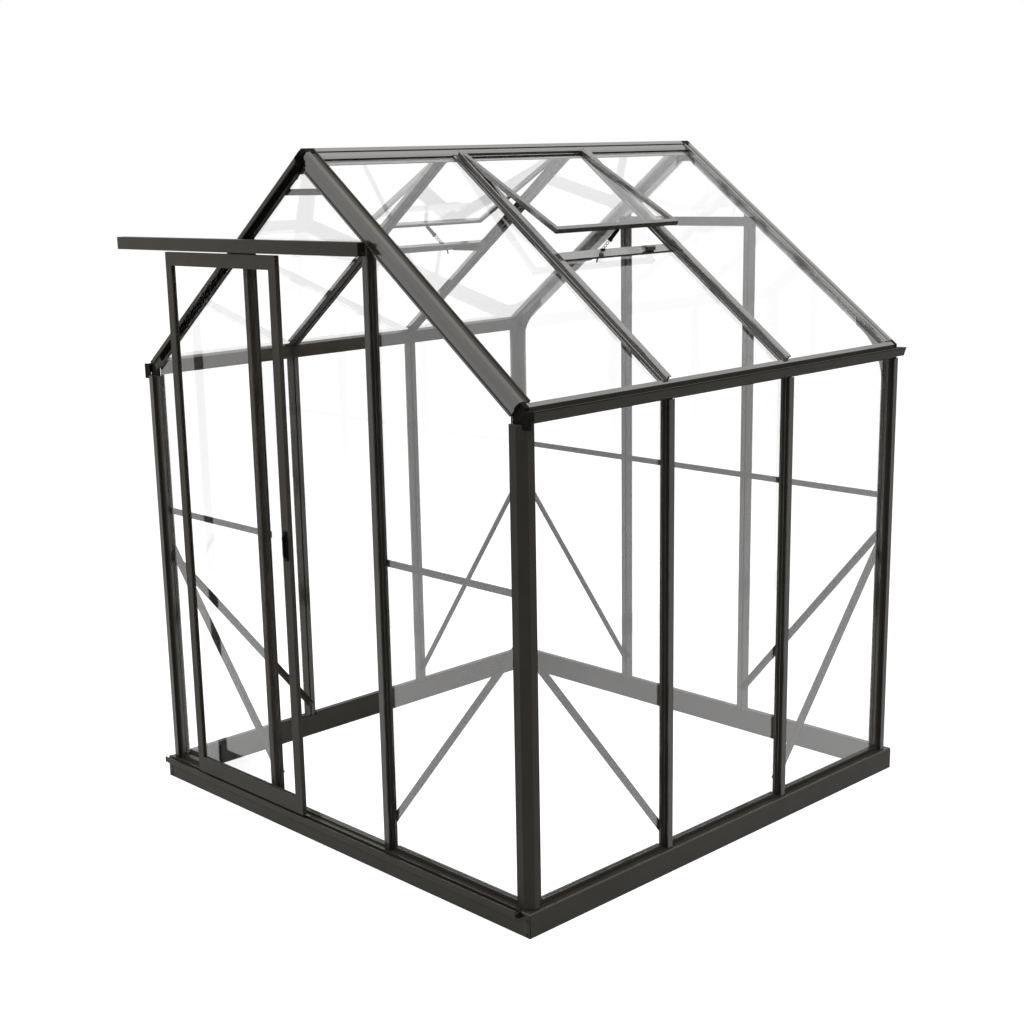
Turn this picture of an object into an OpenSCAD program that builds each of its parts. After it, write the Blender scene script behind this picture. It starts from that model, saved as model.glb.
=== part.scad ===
// Walk-in polycarbonate greenhouse: aluminium frame, three bays a side, ridge
// roof, sliding gable door and two roof vents held open. Millimetres, +Z up,
// the ridge runs along Y, the door gable faces -Y, and the origin is the centre
// of the base frame at ground level.

/* [Overall] */
// Height of the eaves, up to the underside of the eave rail
eave_h = 1540; // [1480:5:2000]
// Width of the base frame, across the ridge
base_w = 1930; // [1750:10:2400]
// Length of the base frame, along the ridge
base_l = 1930; // [1750:10:2400]
// Slope of the roof in degrees
roof_pitch = 37.5; // [32:0.5:45]
// Distance between the two glazing bars of a wall, centre to centre
bay = 610; // [500:5:740]

/* [Base] */
// Height of the base rail
base_h = 78; // [60:1:110]
// Depth of the base rail, from its outer to its inner face
base_t = 47; // [42:1:60]
// Chamfer along the outer top edge of the base rail
base_chamfer = 3; // [1:0.5:6]
// Height of the glazing sill above the base rail
sill_h = 14; // [12:1:20]
// Height of the low threshold in the doorway above the base rail
threshold_h = 6; // [3:1:10]

/* [Frame profiles] */
// Distance from the base rail's outer face in to the corner posts' outer face
post_inset = 21; // [18:1:26]
// Length of each leg of the corner posts and end rafters
leg = 52; // [44:1:60]
// Chamfer along the outer corner of the end rafters
rafter_chamfer = 9; // [4:1:12]
// Rise of the shallow ridge that runs along each leg of the end rafters
leg_rise = 2; // [1:0.5:4]
// Distance of that shallow ridge from the outer corner
leg_ridge = 24; // [18:1:28]
// Reach of the corner post's raised cap along each wall, from the posts' outer corner
post_cap = 33; // [28:1:36]
// Thickness of the leg and glazing bar, inner face to the posts' outer plane
frame_t = 18.5; // [18:0.5:22]
// Distance that a glazing bar's cap stands proud of the posts' outer plane
cap_proud = 12; // [8:1:14]
// Width of a glazing bar's outer cap
cap_w = 23; // [18:1:28]
// Thickness of a glazing bar's outer cap
cap_t = 3.5; // [2.5:0.5:5]
// Width of a glazing bar's neck
neck_w = 9; // [7:1:12]
// Width of a glazing bar's flanges
flange_w = 48; // [44:1:56]
// Width of the web between the pane slots of a glazing bar
web_w = 20; // [18:1:24]
// Width of the bolt channel along a glazing bar's inner face
channel_w = 8; // [6:1:10]
// Depth of that bolt channel
channel_d = 4.5; // [3:0.5:6]

/* [Glazing] */
// Thickness of a polycarbonate pane
pane_t = 4; // [3:0.5:4]
// Depth of the panes' middle plane behind the posts' outer plane
pane_depth = 14; // [13.5:0.5:14]
// Depth of the slot that a pane's edge enters
slot = 12; // [10:1:14]
// Gap between a pane and each wall of its slot
pane_gap = 0.3; // [0.2:0.1:0.5]

/* [Eaves and ridge] */
// Height of the roof's outer plane above the eave rail's underside, over the posts' outer plane
eave_rise = 51.6; // [46:0.2:60]
// Depth of the eave rail, from its inner face to its outer face
eave_t = 28; // [26:1:32]
// Width of the rain gutter
gutter_w = 29; // [22:1:40]
// Height of the rain gutter
gutter_h = 28; // [20:1:32]
// Thickness of the gutter's wall
gutter_wall = 2; // [1.5:0.5:3]
// Height of the gutter's underside above the underside of the eave rail
gutter_rise = 10; // [6:1:14]
// Length of the closed end piece of a gutter
gutter_end = 24; // [16:1:30]
// Half width of the ridge cap, along the slope
ridge_cap = 24; // [18:1:32]
// Half width of the ridge's upper lip, along the slope
ridge_lip = 52; // [48:1:70]
// Half width of the ridge's lower lip, along the slope
ridge_seat = 72; // [72:1:110]
// Half width of the flat on top of the ridge
ridge_flat = 5; // [3:1:8]
// Depth of a ridge end block below the roof's outer plane
ridge_block_d = 42; // [38:1:46]

/* [Cross members] */
// Height of the middle of the cross bars
cross_z = 1043; // [900:10:1150]
// Height of a cross bar's face
cross_h = 22; // [16:1:30]
// Thickness of the flat cross bars, braces and ties
flat_t = 4; // [3:0.5:5]
// Width of a corner brace, which is an angle section
brace_w = 24; // [20:1:30]
// Depth of a corner brace's inward leg
brace_leg = 16; // [10:1:20]
// Height at which a gable's brace meets the corner post
brace_top = 904; // [780:2:980]
// Height above the sill at which a gable's brace meets the foot of the glazing bar
brace_lift = 76; // [72:2:130]
// Distance that the side walls' braces sit below those of the gables
brace_drop = 39; // [30:1:44]
// Distance of the header's underside below the outer edges of the glazing bars' tops
header_drop = 8; // [4:1:20]
// Height of the header
header_h = 34; // [24:1:40]
// Depth of the header behind the glazing bars
header_t = 10; // [6:1:16]
// Length of the plate inside each end of the eave rail
eave_plate_l = 60; // [50:1:80]
// Reach of the curved back plates down the post, below the eave
plate_foot = 55; // [40:1:70]
// Reach of the curved back plates along the rafter, inwards from the post
plate_arm = 88; // [70:1:100]
// Radius of the curved back plates' inner edge
plate_r = 233; // [180:1:300]
// Depth of the collar tie's underside below the ridge line
collar_drop = 146; // [130:2:180]
// Height of the collar tie
collar_h = 20; // [14:1:26]

/* [Door] */
// Distance that the closed door leaf laps past the middle of each glazing bar
door_lap = 8; // [6:1:14]
// Gap between the top of the door leaf and the header's underside
header_gap = 4; // [4:1:16]
// Gap between the guide rail and the underside of the door leaf
door_clear = 6; // [5:1:10]
// Thickness of the door leaf
door_t = 17; // [14:1:20]
// Gap between the door leaf and the caps of the glazing bars behind it
door_gap = 12; // [8:1:14]
// Width of the door stile on the far side from the handle
stile_w = 33; // [24:1:36]
// Width of the door stile that carries the handle
handle_stile_w = 38; // [32:1:44]
// Height of the door's top rail
door_top_rail = 46; // [28:1:50]
// Height of the door's bottom rail
door_bottom_rail = 58; // [44:1:70]
// Distance of the door leaf's middle left of the doorway's middle, as built
door_shift = 415; // [380:1:420]
// Height of the middle of the door handle
handle_z = 1038; // [950:5:1150]
// Length of the door handle
handle_l = 100; // [70:5:120]

/* [Door track and guide rail] */
// Distance that the track runs past the base rail's corner on the open side
track_over = 59; // [56:1:90]
// Distance that the track runs past the middle of the glazing bar on the closed side
track_past = 10; // [8:1:50]
// Height of the track's face
track_h = 42.5; // [38:0.5:46]
// Gap between the top of the door leaf and the track
track_gap = 5; // [5:1:14]
// Depth of the track, front to back
track_d = 34; // [32:1:38]
// Thickness of the track's wall
track_wall = 2.5; // [2:0.5:3]
// Diameter of a door roller
roller_d = 22; // [18:1:24]
// Width of a door roller
roller_w = 7; // [5:1:8]
// Length of the roller carriage
hanger_l = 138; // [120:2:170]
// Height of the guide rail under the door
guide_h = 22; // [18:1:24]
// Distance of the guide rail's underside below the top of the base rail
guide_drop = 16; // [14:1:24]
// Distance that the guide rail stands out from the base rail
guide_d = 23; // [22:1:26]
// Thickness of the guide rail's lips
guide_lip = 3; // [2:0.5:4]
// Distance that the guide rail stops short of the base rail's corner, open side
guide_short_l = 11; // [0:1:30]
// Distance that the guide rail stops short of the base rail's corner, closed side
guide_short_r = 40; // [10:1:60]

/* [Roof vents] */
// Angle in degrees by which each vent is propped open
vent_open = 7.8; // [5:0.1:12]
// Length of a vent along the slope
vent_l = 510; // [440:1:560]
// Gap between a vent and the rafters' caps
vent_gap = 3.5; // [2:0.5:5]
// Distance that a vent laps over the bar on its front side
vent_over = 20; // [0:1:22]
// Width of the vent frame's bars
vent_bar_w = 18; // [14:1:24]
// Depth of the vent frame's bars
vent_bar_t = 16; // [12:1:18]
// Width of the sill bar below a vent
vent_sill_w = 36; // [28:1:44]
// Distance down the slope from a closed vent to its sill bar
vent_sill_gap = 5; // [3:1:10]
// Diameter of the stay that props a vent
stay_d = 9; // [6:1:12]
// Sideways lean of the stay, foot to head
stay_lean = 52; // [0:1:70]

/* [Hidden] */
$fn = 32;

// Charcoal powder coat, black plastic and clear sheet
coat = [0.20, 0.195, 0.175];
black = [0.05, 0.05, 0.05];
clear = [0.85, 0.9, 0.92, 0.35];

// Sides of the house, in the order that at_wall turns to
FRONT = 0;
RIGHT = 1;
BACK = 2;
LEFT = 3;

half_w = base_w / 2;
half_l = base_l / 2;
frame_x = half_w - post_inset;
frame_y = half_l - post_inset;
sill_top = base_h + sill_h;
ridge_h = eave_h + eave_rise + frame_x * tan(roof_pitch);
brace_foot = sill_top + brace_lift;
collar_z = ridge_h - collar_drop;

// Slot walls, as depths behind the posts' outer plane
slot_out = pane_depth - pane_t / 2 - pane_gap;
slot_in = pane_depth + pane_t / 2 + pane_gap;
pane_out = pane_depth - pane_t / 2;
pane_in = pane_depth + pane_t / 2;
// The roof bars rest on lips this far below the roof's outer plane
seat_in = frame_t + 0.1;

// Edge of a pane beside a glazing bar and inside a post's leg
bar_edge = web_w / 2 + 1;
leg_edge = leg - slot + 1;

// Slope of the roof and the height of a plane lying e below its outer plane
tan_p = tan(roof_pitch);
sin_p = sin(roof_pitch);
cos_p = cos(roof_pitch);
function roof_z(x, e = 0) = ridge_h - e / cos_p - tan_p * abs(x);
// Point e below the outer plane and t down the slope from the ridge line
function on_slope(t, e) = [t * cos_p - e * sin_p, ridge_h - t * sin_p - e * cos_p];

eave_in = frame_x - frame_t - 5.5;
eave_out = eave_in + eave_t;
eave_lip = (eave_out - 13) / cos_p;
// Where the end rafters stop, measured down the slope from the ridge line
rafter_end = (eave_out - 18) / cos_p;
// The end rafters stop at the ridge end blocks, just short of the roof panes
ridge_block = on_slope(ridge_lip - slot, slot_in)[0];
block_depth = eave_t;
block_inset = 10;
inner_y = frame_y - frame_t;
inner_x = frame_x - frame_t;

door_back = frame_y + cap_proud + door_gap;
door_front = door_back + door_t;
door_mid = door_back + door_t / 2;
door_w = bay + 2 * door_lap;
door_l = -door_shift - door_w / 2;
door_r = -door_shift + door_w / 2;
guide_z = base_h - guide_drop;
door_foot = guide_z + guide_h + door_clear;
header_z = roof_z((bay + flange_w) / 2, leg) - header_drop;
door_top = header_z - header_gap;
track_left = half_w + track_over;
track_right = bay / 2 + track_past;
track_back = frame_y + cap_proud;
track_front = track_back + track_d;
track_z = door_top + track_gap;
ledge_z = track_z + 7;
roller_z = ledge_z + track_wall + roller_d / 2 + 0.3;
hanger_mid = -door_shift + 132;

vent_t0 = ridge_lip + 0.3;
vent_half = bay / 2 - cap_w / 2 - vent_gap;
vent_low = -6;
vent_sill_y = -8;
vent_sill_t = vent_t0 + vent_l + vent_sill_gap;

// Turns work drawn with Y outwards and X along the wall to one side of the house
module at_wall(side) {
    rotate([0, 0, [180, -90, 0, 90][side]])
        translate([0, side % 2 == 0 ? frame_y : frame_x, 0])
            children();
}

// Turns work drawn with X along the ridge, Y outwards and Z down the slope
module at_slope(side) {
    mirror([side < 0 ? 1 : 0, 0, 0])
        translate([0, 0, ridge_h])
            rotate([0, 90 + roof_pitch, 0])
                rotate([0, 0, 90])
                    children();
}

// Section of a glazing bar: outer cap, neck, ribbed flange, pane slots, inner bolt channel
module bar_profile() {
    half = [
        [cap_w / 2 - 1, cap_proud],
        [cap_w / 2, cap_proud - 1],
        [cap_w / 2, cap_proud - cap_t],
        [neck_w / 2, cap_proud - cap_t],
        [neck_w / 2, -3],
        [neck_w / 2 + 6, -4],
        [neck_w / 2 + 7, -slot_out + 3.5],
        [flange_w / 2 - 4, -slot_out + 2],
        [flange_w / 2 - 3, -slot_out + 3.5],
        [flange_w / 2, -slot_out + 3.5],
        [flange_w / 2, -slot_out],
        [web_w / 2, -slot_out],
        [web_w / 2, -slot_in],
        [flange_w / 2, -slot_in],
        [flange_w / 2, -frame_t],
        [channel_w / 2, -frame_t],
        [channel_w / 2, -frame_t + channel_d]
    ];
    other = [for (i = [len(half) - 1 : -1 : 0]) [-half[i][0], half[i][1]]];
    polygon(concat(half, other));
}

// Section of two like legs, from the outline of one leg's outer face; outer corner at the origin
module two_legs(face) {
    side = concat(face, [
        [-slot_out, -leg],
        [-slot_out, -leg + slot],
        [-slot_in, -leg + slot],
        [-slot_in, -leg],
        [-frame_t, -leg]
    ]);
    other = [for (i = [len(side) - 1 : -1 : 0]) [side[i][1], side[i][0]]];
    polygon(concat(side, [[-frame_t, -frame_t]], other));
}

// Section of an end rafter: a chamfered corner, and on each leg a ridge, a trough and a lip
module rafter_profile() {
    two_legs([
        [0, -rafter_chamfer],
        [leg_rise, -leg_ridge],
        [-3, -leg_ridge - 2],
        [-3, -leg + 7],
        [1, -leg + 6],
        [1, -leg]
    ]);
}

// Section of a corner post: a raised cap cut off at 45 degrees, over two plain legs
module post_profile() {
    two_legs([
        [cap_proud, -cap_proud],
        [cap_proud, -post_cap],
        [cap_proud - cap_t, -post_cap],
        [cap_proud - cap_t, -post_cap + 6],
        [-1, -post_cap + 6],
        [-1, -leg]
    ]);
}

// Extrudes an outline drawn in X and Z along Y, from y0 to y1
module along_y(y0, y1) {
    translate([0, y1, 0])
        rotate([90, 0, 0])
            linear_extrude(y1 - y0)
                children();
}

// Everything below a plane that lies e under the roof's outer plane
module under_roof(e) {
    along_y(-base_l, base_l)
        polygon([
            [-base_w, 0],
            [base_w, 0],
            [base_w, roof_z(base_w, e)],
            [0, roof_z(0, e)],
            [-base_w, roof_z(base_w, e)]
        ]);
}

// One side of the base frame, mitred at both ends
module base_rail(side) {
    reach = side % 2 == 0 ? half_w : half_l;
    at_wall(side)
        translate([0, post_inset, 0])
            intersection() {
                rotate([90, 0, 90])
                    linear_extrude(2 * reach, center = true)
                        polygon([
                            [0, 0],
                            [0, base_h - base_chamfer],
                            [-base_chamfer, base_h],
                            [-base_t, base_h],
                            [-base_t, 0]
                        ]);
                linear_extrude(base_h)
                    polygon([
                        [-reach, 0],
                        [reach, 0],
                        [reach - base_t, -base_t],
                        [-reach + base_t, -base_t]
                    ]);
            }
}

// The base frame: four rails joined at the corners into one ring
module base_frame() {
    color(coat)
        for (side = [FRONT, RIGHT, BACK, LEFT])
            base_rail(side);
}

// Slotted sill from x0 to x1 along a wall
module sill(x0, x1) {
    inner = frame_t + 7.5;
    translate([x0, 0, base_h])
        rotate([90, 0, 90])
            linear_extrude(x1 - x0)
                polygon([
                    [-4, 0],
                    [-4, sill_h],
                    [-slot_out, sill_h],
                    [-slot_out, sill_h / 2],
                    [-slot_in, sill_h / 2],
                    [-slot_in, sill_h],
                    [-inner, sill_h],
                    [-inner, 0]
                ]);
}

module glazing_sills() {
    bar = bay / 2;
    gap = flange_w / 2;
    color(coat)
        for (side = [FRONT, RIGHT, BACK, LEFT]) {
            end = (side % 2 == 0 ? frame_x : frame_y) - leg;
            at_wall(side) {
                sill(-end, -bar - gap);
                sill(bar + gap, end);
                if (side != FRONT) {
                    sill(-bar + gap, bar - gap);
                } else {
                    translate([-bar + gap, -frame_t - 7.5, base_h])
                        cube([bay - 2 * gap, frame_t + 3.5, threshold_h]);
                }
            }
        }
}

// Channel that steadies the foot of the door, along the front of the base
module door_guide_rail() {
    color(coat)
        translate([half_w - guide_short_r, -half_l, guide_z])
            rotate([90, 0, -90])
                linear_extrude(base_w - guide_short_r - guide_short_l)
                    polygon([
                        [0, 0],
                        [guide_d - 2, 0],
                        [guide_d, 2],
                        [guide_d, guide_h],
                        [guide_d - guide_lip, guide_h],
                        [guide_d - guide_lip, guide_h / 2],
                        [guide_lip, guide_h / 2],
                        [guide_lip, guide_h],
                        [0, guide_h]
                    ]);
}

module corner_post(side_x, side_y) {
    mirror([side_x < 0 ? 1 : 0, 0, 0])
        mirror([0, side_y < 0 ? 1 : 0, 0])
            translate([frame_x, frame_y, base_h])
                linear_extrude(eave_h - base_h)
                    post_profile();
}

module corner_posts(side_y) {
    color(coat)
        for (side_x = [-1, 1])
            corner_post(side_x, side_y);
}

// Pair of glazing bars in a side wall
module wall_studs(side) {
    color(coat)
        at_wall(side)
            for (x = [-bay / 2, bay / 2])
                translate([x, 0, base_h])
                    linear_extrude(eave_h - base_h)
                        bar_profile();
}

// Pair of glazing bars in a gable, cut to the underside of the end rafters
module gable_studs(side) {
    color(coat)
        intersection() {
            at_wall(side)
                for (x = [-bay / 2, bay / 2])
                    translate([x, 0, base_h])
                        linear_extrude(ridge_h - base_h)
                            bar_profile();
            under_roof(leg);
        }
}

// Rail on top of a side wall, with slots for the wall panes and the roof panes
module eave_rail(side) {
    lip = on_slope(eave_lip, 0);
    color(coat)
        mirror([side < 0 ? 1 : 0, 0, 0])
            along_y(-frame_y + block_depth, frame_y - block_depth)
                polygon([
                    [eave_in, eave_h],
                    [frame_x - slot_in, eave_h],
                    [frame_x - slot_in, eave_h + 10],
                    [frame_x - slot_out, eave_h + 10],
                    [frame_x - slot_out, eave_h],
                    [eave_out, eave_h],
                    [eave_out, roof_z(eave_out)],
                    lip,
                    on_slope(eave_lip, slot_out),
                    on_slope(eave_lip + slot, slot_out),
                    on_slope(eave_lip + slot, seat_in),
                    [eave_in, roof_z(eave_in, seat_in)]
                ]);
}

module gutters() {
    low = eave_h + gutter_rise;
    run = half_l - 15 - gutter_end;
    color(coat)
        for (side = [0, 1])
            mirror([side, 0, 0])
                along_y(-run, run)
                    translate([eave_out, low])
                        polygon([
                            [0, 0],
                            [gutter_w - gutter_wall, 0],
                            [gutter_w, gutter_wall],
                            [gutter_w, gutter_h],
                            [gutter_w - gutter_wall, gutter_h],
                            [gutter_w - gutter_wall, gutter_wall],
                            [gutter_wall, gutter_wall],
                            [gutter_wall, gutter_h],
                            [0, gutter_h]
                        ]);
}

// Closed ends of the gutters, slanting outwards from bottom to top
module gutter_ends() {
    low = eave_h + gutter_rise;
    run = half_l - 15;
    color(coat)
        for (side = [0, 1], end = [0, 1])
            mirror([side, 0, 0])
                mirror([0, end, 0])
                    translate([eave_out, 0, low])
                        rotate([90, 0, 90])
                            linear_extrude(gutter_w)
                                polygon([
                                    [run - gutter_end, 0],
                                    [run - gutter_end * 2 / 3, 0],
                                    [run, gutter_h],
                                    [run - gutter_end, gutter_h]
                                ]);
}

// Blocks that join a corner post, an end rafter and an eave rail
module eave_corner_blocks() {
    low_in = frame_x - leg + 8;
    tip = on_slope(rafter_end, leg);
    color(black)
        for (side = [0, 1], end = [0, 1])
            mirror([side, 0, 0])
                mirror([0, end, 0])
                    along_y(frame_y - block_depth, frame_y - block_inset)
                        polygon([
                            [low_in, eave_h],
                            [eave_out, eave_h],
                            [eave_out, roof_z(eave_out)],
                            on_slope(rafter_end, 0),
                            tip,
                            [low_in, roof_z(low_in, leg)]
                        ]);
}

// Ridge extrusion: raised cap, upper lips over the panes, lower lips under the rafters
module ridge_bar() {
    half = [
        [ridge_flat, ridge_h - 4],
        on_slope(ridge_cap, 0),
        on_slope(ridge_cap, 3),
        on_slope(ridge_lip - 8, 4),
        on_slope(ridge_lip, 8.5),
        on_slope(ridge_lip, slot_out),
        on_slope(ridge_lip - slot, slot_out),
        on_slope(ridge_lip - slot, seat_in),
        on_slope(ridge_seat, seat_in),
        on_slope(ridge_seat, seat_in + 3),
        on_slope(ridge_seat / 2, seat_in + 3),
        [12, roof_z(12, seat_in + 22)]
    ];
    other = [for (i = [len(half) - 1 : -1 : 0]) [-half[i][0], half[i][1]]];
    color(coat)
        along_y(-frame_y + leg, frame_y - leg)
            polygon(concat(half, other));
}

// Outline of a ridge end block, down to a plane that lies e below the roof's outer plane
module ridge_block_outline(e) {
    polygon([
        [-ridge_block, roof_z(ridge_block)],
        [-ridge_flat, ridge_h - 4],
        [ridge_flat, ridge_h - 4],
        [ridge_block, roof_z(ridge_block)],
        [ridge_block, roof_z(ridge_block, e)],
        [0, roof_z(0, e)],
        [-ridge_block, roof_z(ridge_block, e)]
    ]);
}

// Everything above the underside of a ridge end block, out to x on both sides
module over_ridge_block(x) {
    polygon([
        [-x, roof_z(x, ridge_block_d)],
        [0, roof_z(0, ridge_block_d)],
        [x, roof_z(x, ridge_block_d)],
        [x, ridge_h],
        [-x, ridge_h]
    ]);
}

module ridge_end_blocks() {
    color(black)
        for (end = [0, 1])
            mirror([0, end, 0]) {
                along_y(inner_y, frame_y - block_inset)
                    ridge_block_outline(ridge_block_d);
                along_y(frame_y - leg, inner_y)
                    ridge_block_outline(frame_t);
            }
}

// Pair of end rafters of one gable, cut upright at the ridge and square at the eaves
module end_rafters(end) {
    color(coat)
        mirror([0, end, 0])
            for (side = [-1, 1])
                intersection() {
                    at_slope(side)
                        translate([frame_y, 0, 0])
                            linear_extrude(rafter_end)
                                rafter_profile();
                    mirror([side < 0 ? 1 : 0, 0, 0])
                        translate([ridge_block, -base_l, 0])
                            cube([base_w, 2 * base_l, 2 * ridge_h]);
                }
}

// Glazing bars of the roof; the front pair is cut back to clear the vents that lap over it
module roof_rafters() {
    color(coat)
        for (side = [-1, 1])
            difference() {
                at_slope(side)
                    for (x = [-bay / 2, bay / 2])
                        translate([x, 0, ridge_lip])
                            linear_extrude(eave_lip - ridge_lip)
                                bar_profile();
                at_vent(side)
                    translate([-vent_half - vent_over - 1, vent_low - 0.6, -5])
                        cube([vent_over + 1, 2 * cap_proud, vent_l]);
            }
}

// Bars across the tops of the gable studs; the front one carries the pane above the door
module headers() {
    reach = bay / 2 + flange_w / 2;
    color(coat) {
        for (end = [0, 1])
            mirror([0, end, 0])
                translate([-reach, inner_y - header_t, header_z])
                    cube([2 * reach, header_t, header_h]);
        translate([-bay / 2 + flange_w / 2, -inner_y - 8, header_z])
            cube([bay - flange_w, 8, 5]);
    }
}

// Channel that the door hangs from, open along its underside
module door_track() {
    w = track_wall;
    color(coat)
        translate([track_right, 0, track_z])
            rotate([90, 0, -90])
                linear_extrude(track_left + track_right)
                    polygon([
                        [track_back, 7],
                        [track_back + 13, 7],
                        [track_back + 13, 7 + w],
                        [track_back + w, 7 + w],
                        [track_back + w, track_h - w],
                        [track_front - w, track_h - w],
                        [track_front - w, 0],
                        [track_front, 0],
                        [track_front, track_h],
                        [track_back, track_h]
                    ]);
}

// Flat bars across the bays at mid height, inside the glazing
module cross_bars() {
    post_in = frame_x - frame_t - 6;
    low = cross_z - cross_h / 2;
    color(coat) {
        for (side = [0, 1])
            mirror([side, 0, 0])
                translate([bay / 2 - flange_w / 2, -inner_y, low])
                    cube([post_in - bay / 2 + flange_w / 2, flat_t, cross_h]);
        translate([-post_in, inner_y - flat_t, low])
            cube([2 * post_in, flat_t, cross_h]);
    }
}

// Angle brace from a corner post down to the foot of the nearest bar
module brace(reach, drop) {
    top = [reach, brace_top - drop];
    foot = [bay / 2, brace_foot - drop];
    run = top - foot;
    translate([foot[0], -frame_t, foot[1]])
        rotate([0, -atan2(run[1], run[0]), 0])
            rotate([90, 0, 90])
                linear_extrude(norm(run))
                    polygon([
                        [0, -brace_w / 2],
                        [0, brace_w / 2],
                        [-brace_leg, brace_w / 2],
                        [-brace_leg, brace_w / 2 - flat_t],
                        [-flat_t, brace_w / 2 - flat_t],
                        [-flat_t, -brace_w / 2]
                    ]);
}

module corner_braces() {
    color(coat)
        for (side = [FRONT, RIGHT, BACK, LEFT], hand = [0, 1]) {
            gable = side % 2 == 0;
            reach = (gable ? frame_x : frame_y) - leg + 18;
            at_wall(side)
                mirror([hand, 0, 0])
                    brace(reach, gable ? 0 : brace_drop);
        }
}

// Centre of the circle of radius r through p and q that lies to the left of p to q
function arc_centre(p, q, r) =
    let (chord = q - p, half = norm(chord) / 2, away = sqrt(r * r - half * half))
        (p + q) / 2 + away / (2 * half) * [-chord[1], chord[0]];

// Curved plate that stiffens the joint between a back post and the end rafter
module fillet_plate() {
    low_in = frame_x - leg;
    edge = min(low_in + 5, on_slope(rafter_end, leg)[0] - pane_gap);
    foot = [low_in, eave_h - plate_foot];
    head = [low_in - plate_arm, roof_z(low_in - plate_arm, leg)];
    difference() {
        polygon([
            foot - [0, 20],
            foot + [25, -20],
            [low_in + 25, eave_h],
            [edge, eave_h],
            [edge, roof_z(edge, leg)],
            [edge - 2, roof_z(edge - 2, 30)],
            [low_in - plate_arm - 20, roof_z(low_in - plate_arm - 20, 26)],
            [low_in - plate_arm - 20, roof_z(low_in - plate_arm - 20, leg)]
        ]);
        translate(arc_centre(foot, head, plate_r))
            circle(r = plate_r, $fn = 128);
    }
}

// Plates inside the joints: under the ridge, on the ends of the eave rails, at the back eaves
module gusset_plates() {
    eave_plate_h = roof_z(eave_in, seat_in) - eave_h - 2;
    color(coat) {
        for (end = [0, 1])
            mirror([0, end, 0])
                along_y(inner_y - 3, inner_y)
                    polygon([
                        [0, roof_z(0, 26)],
                        [2 * ridge_block, roof_z(2 * ridge_block, 26)],
                        [2 * ridge_block, roof_z(2 * ridge_block, leg)],
                        [1.2 * ridge_block, roof_z(ridge_block, leg)],
                        [-1.2 * ridge_block, roof_z(ridge_block, leg)],
                        [-2 * ridge_block, roof_z(2 * ridge_block, leg)],
                        [-2 * ridge_block, roof_z(2 * ridge_block, 26)]
                    ]);
        for (side = [0, 1], end = [0, 1])
            mirror([side, 0, 0])
                mirror([0, end, 0])
                    translate([eave_in - 3, frame_y - block_depth - eave_plate_l, eave_h])
                        cube([3, eave_plate_l, eave_plate_h]);
        for (side = [0, 1])
            mirror([side, 0, 0])
                along_y(inner_y - 3, inner_y)
                    fillet_plate();
    }
}

module collar_tie() {
    reach = (ridge_h - collar_z) / tan_p - 60;
    color(coat)
        translate([-reach, -inner_y, collar_z])
            cube([2 * reach, flat_t, collar_h]);
}

// Panes of one gable, cut to the slot in the end rafters and clear of the corner blocks
module gable_panes(side) {
    edge = bay / 2 + bar_edge;
    out = frame_x - leg_edge;
    low = base_h + sill_h / 2 + pane_gap;
    mid_low = side == FRONT ? header_z + 5 + pane_gap : low;
    color(clear)
        intersection() {
            at_wall(side)
                translate([0, -pane_in, 0])
                    difference() {
                        union() {
                            for (hand = [0, 1])
                                mirror([hand, 0, 0])
                                    translate([edge, 0, low])
                                        cube([out - edge, pane_t, ridge_h]);
                            translate([-bay / 2 + bar_edge, 0, mid_low])
                                cube([bay - 2 * bar_edge, pane_t, ridge_h]);
                        }
                        for (hand = [0, 1])
                            mirror([hand, 0, 0])
                                translate([frame_x - leg - pane_gap, -1, eave_h - pane_gap])
                                    cube([leg, pane_t + 2, leg * 2]);
                        translate([0, pane_t / 2, -pane_gap])
                            rotate([90, 0, 0])
                                linear_extrude(pane_t + 2, center = true)
                                    over_ridge_block(ridge_block + pane_gap);
                    }
            under_roof(leg - slot + 1);
        }
}

module wall_panes(side) {
    edge = bay / 2 + bar_edge;
    out = frame_y - leg_edge;
    low = base_h + sill_h / 2 + pane_gap;
    high = eave_h + 10 - pane_gap;
    color(clear)
        at_wall(side)
            translate([0, -pane_in, low]) {
                for (hand = [0, 1])
                    mirror([hand, 0, 0])
                        translate([edge, 0, 0])
                            cube([out - edge, pane_t, high - low]);
                translate([-bay / 2 + bar_edge, 0, 0])
                    cube([bay - 2 * bar_edge, pane_t, high - low]);
            }
}

module roof_panes(side) {
    edge = bay / 2 + bar_edge;
    out = frame_y - leg_edge;
    top = ridge_lip - slot + 1;
    foot = eave_lip + slot - pane_gap;
    mid_top = vent_sill_t + vent_sill_w / 2;
    color(clear)
        at_slope(side) {
            for (hand = [0, 1])
                mirror([hand, 0, 0])
                    translate([edge, -pane_in, top])
                        cube([out - edge, pane_t, foot - top]);
            translate([-bay / 2 + bar_edge, -pane_in, mid_top])
                cube([bay - 2 * bar_edge, pane_t, foot - mid_top]);
        }
}

// Places work drawn over a closed vent, with its hinge line as the origin
module at_vent(side) {
    at_slope(side)
        translate([0, -3, vent_t0])
            rotate([-vent_open, 0, 0])
                translate([0, 3, 0])
                    children();
}

module vent_frames() {
    w = vent_bar_w;
    color(coat)
        for (side = [-1, 1])
            at_vent(side) {
                for (x = [-vent_half - vent_over, vent_half - w])
                    translate([x, vent_low, w])
                        cube([w, vent_bar_t, vent_l - 2 * w]);
                for (t = [0, vent_l - w])
                    translate([-vent_half - vent_over, vent_low, t])
                        cube([2 * vent_half + vent_over, vent_bar_t, w]);
            }
}

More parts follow.
